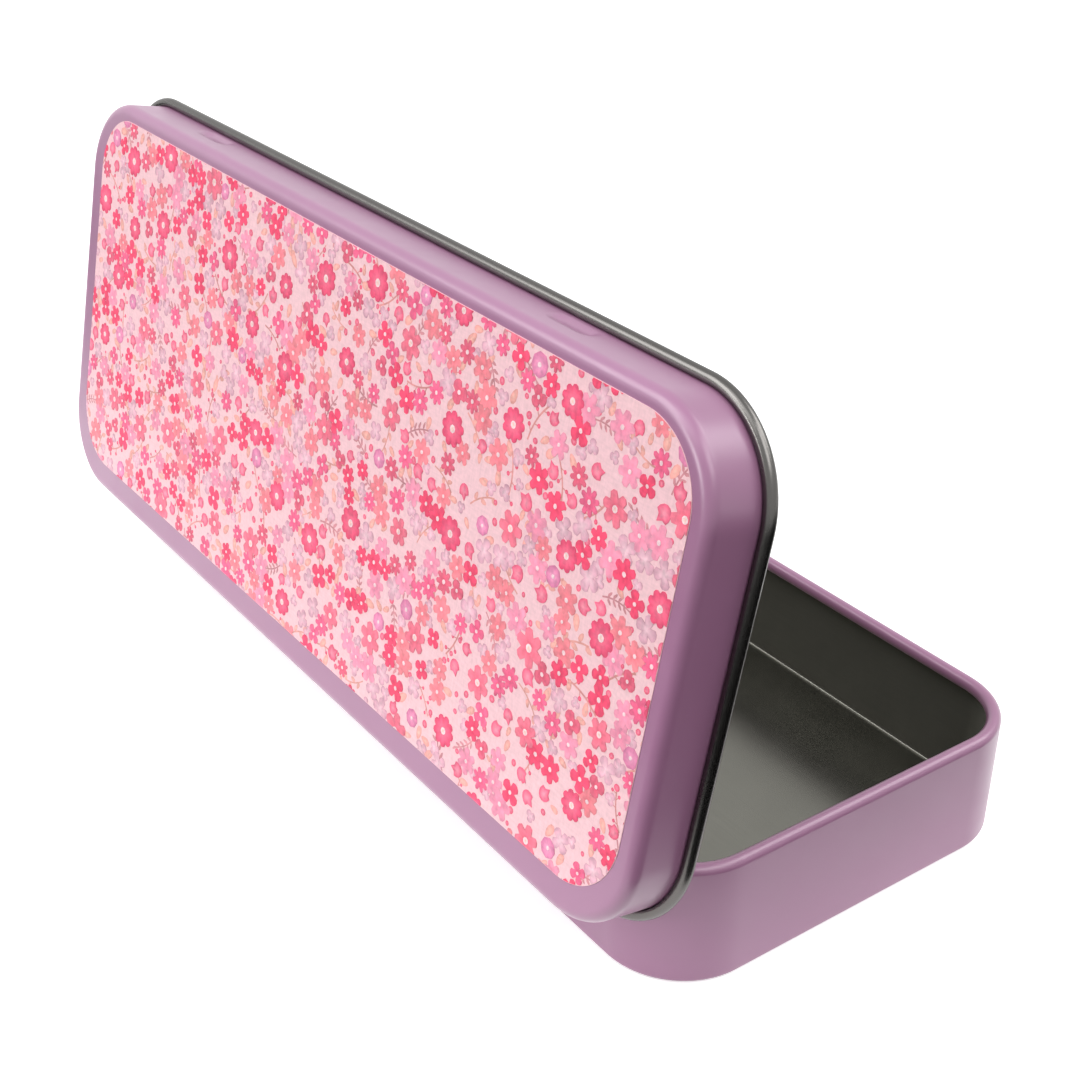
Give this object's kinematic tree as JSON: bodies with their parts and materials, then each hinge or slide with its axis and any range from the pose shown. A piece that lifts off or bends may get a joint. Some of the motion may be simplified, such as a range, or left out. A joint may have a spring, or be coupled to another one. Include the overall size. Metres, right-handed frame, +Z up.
{
  "type": "hinged pencil tin",
  "caption": "Shallow hinged tin of drawn sheet metal with rounded corners, rolled edges and a printed lid, shown standing open.",
  "frame": {"origin": "middle of the underside of the base", "axes": "+X along the tin, +Y towards the hinge side, -Y towards the front, +Z up"},
  "size_m": [0.1934, 0.0883, 0.0929],
  "materials": {
    "lilac_lacquer": "satin roller-coated lacquer on drawn tinplate",
    "bare_tinplate": "semi-bright, uncoated",
    "steel_wire": "bright drawn wire",
    "floral_print": "printed film with a fine canvas grain"
  },
  "bodies": {
    "base": {"base_shell": "lilac_lacquer", "hinge_strap_left": "bare_tinplate", "hinge_strap_right": "bare_tinplate"},
    "lid": {"lid_shell": "lilac_lacquer", "printed_insert": "floral_print", "hinge_wire_left": "steel_wire", "hinge_wire_right": "steel_wire"}
  },
  "joints": [
    {"name": "lid_hinge", "type": "hinge", "parent": "base", "child": "lid", "pos_m": [0, 0.04045, 0.0125], "axis": [-1, 0, 0], "range_deg": [-79, 101]}
  ]
}
